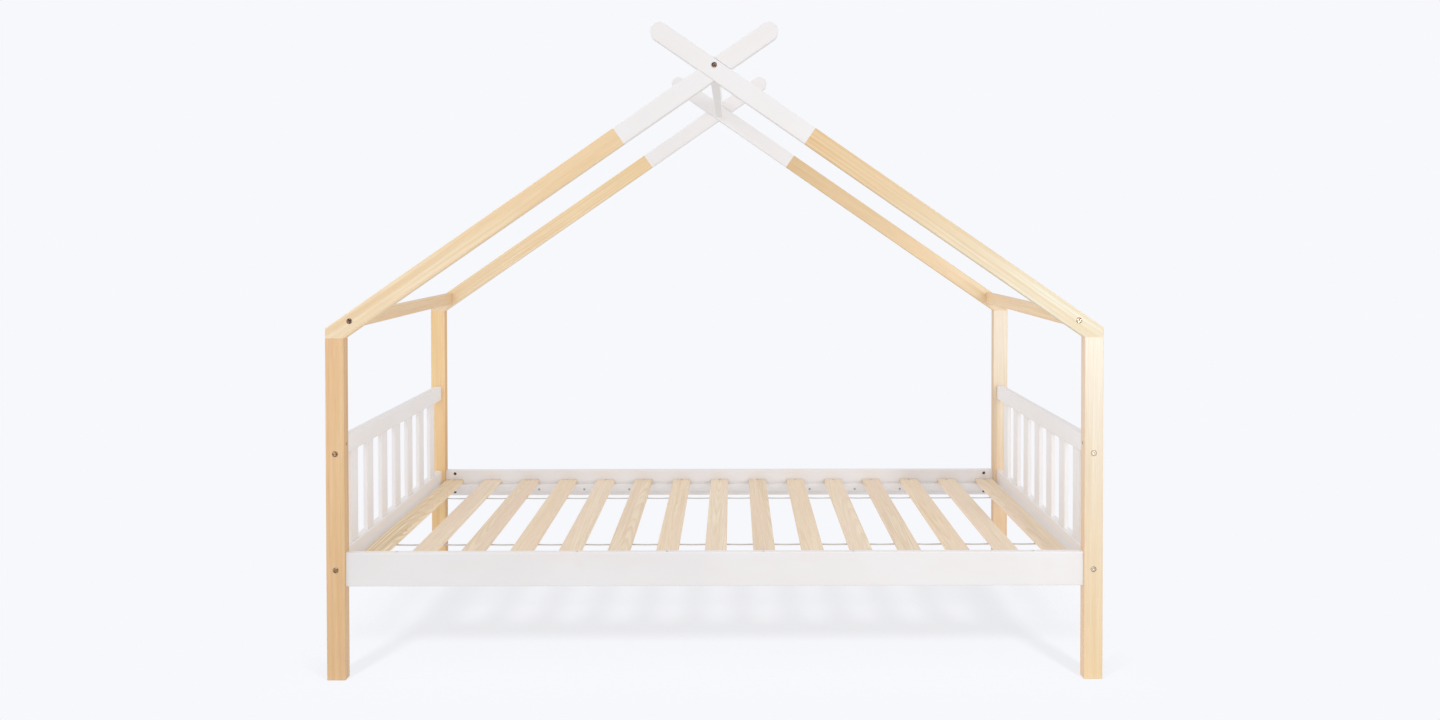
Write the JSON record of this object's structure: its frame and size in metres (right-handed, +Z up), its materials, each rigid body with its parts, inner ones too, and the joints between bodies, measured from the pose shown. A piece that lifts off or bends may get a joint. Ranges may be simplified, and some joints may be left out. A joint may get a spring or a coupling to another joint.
{
  "type": "house frame bed",
  "caption": "Low child's bed with slatted end panels under an open house-shaped frame of crossed rafters and beams, for a standard small mattress.",
  "frame": {"origin": "on the floor under the middle of the bed", "axes": "+X along the bed to its right end as seen from the open front, +Y from the front to the back, +Z up"},
  "size_m": [2, 0.96, 1.6927],
  "materials": {
    "post_pine": "clear satin lacquer on pale pine",
    "rafter_pine_and_white": "clear satin lacquer on pale pine below, thin white paint above",
    "white_paint": "thin satin white paint over planed pine",
    "slat_pine": "bare planed pine",
    "webbing_tape": "flat woven tape",
    "bolt_steel": "bronze-toned plating",
    "zinc_steel": "zinc plating",
    "beech": "bare turned beech"
  },
  "bodies": {
    "root": {"post_front_left": "post_pine", "rafter_front_left": "rafter_pine_and_white", "post_rear_left": "post_pine", "rafter_rear_left": "rafter_pine_and_white", "post_front_right": "post_pine", "rafter_front_right": "rafter_pine_and_white", "post_rear_right": "post_pine", "rafter_rear_right": "rafter_pine_and_white", "ridge_beam": "white_paint", "eave_beam_left": "post_pine", "end_low_rail_left": "white_paint", "end_top_rail_left": "white_paint", "spindle_left_1": "white_paint", "spindle_left_2": "white_paint", "spindle_left_3": "white_paint", "spindle_left_4": "white_paint", "spindle_left_5": "white_paint", "spindle_left_6": "white_paint", "spindle_left_7": "white_paint", "eave_beam_right": "post_pine", "end_low_rail_right": "white_paint", "end_top_rail_right": "white_paint", "spindle_right_1": "white_paint", "spindle_right_2": "white_paint", "spindle_right_3": "white_paint", "spindle_right_4": "white_paint", "spindle_right_5": "white_paint", "spindle_right_6": "white_paint", "spindle_right_7": "white_paint", "side_rail_front": "white_paint", "slat_cleat_front": "white_paint", "webbing_front": "webbing_tape", "side_rail_rear": "white_paint", "slat_cleat_rear": "white_paint", "webbing_rear": "webbing_tape", "slat_01": "slat_pine", "slat_02": "slat_pine", "slat_03": "slat_pine", "slat_04": "slat_pine", "slat_05": "slat_pine", "slat_06": "slat_pine", "slat_07": "slat_pine", "slat_08": "slat_pine", "slat_09": "slat_pine", "slat_10": "slat_pine", "slat_11": "slat_pine", "slat_12": "slat_pine", "slat_13": "slat_pine", "slat_14": "slat_pine", "slat_15": "slat_pine", "panel_bolts": "bolt_steel", "roof_bolts": "bolt_steel", "rail_bolts": "bolt_steel", "barrel_nuts": "zinc_steel", "roof_dowels": "beech", "slat_screws": "zinc_steel", "cleat_screws": "zinc_steel", "webbing_staples": "zinc_steel"}
  },
  "joints": []
}
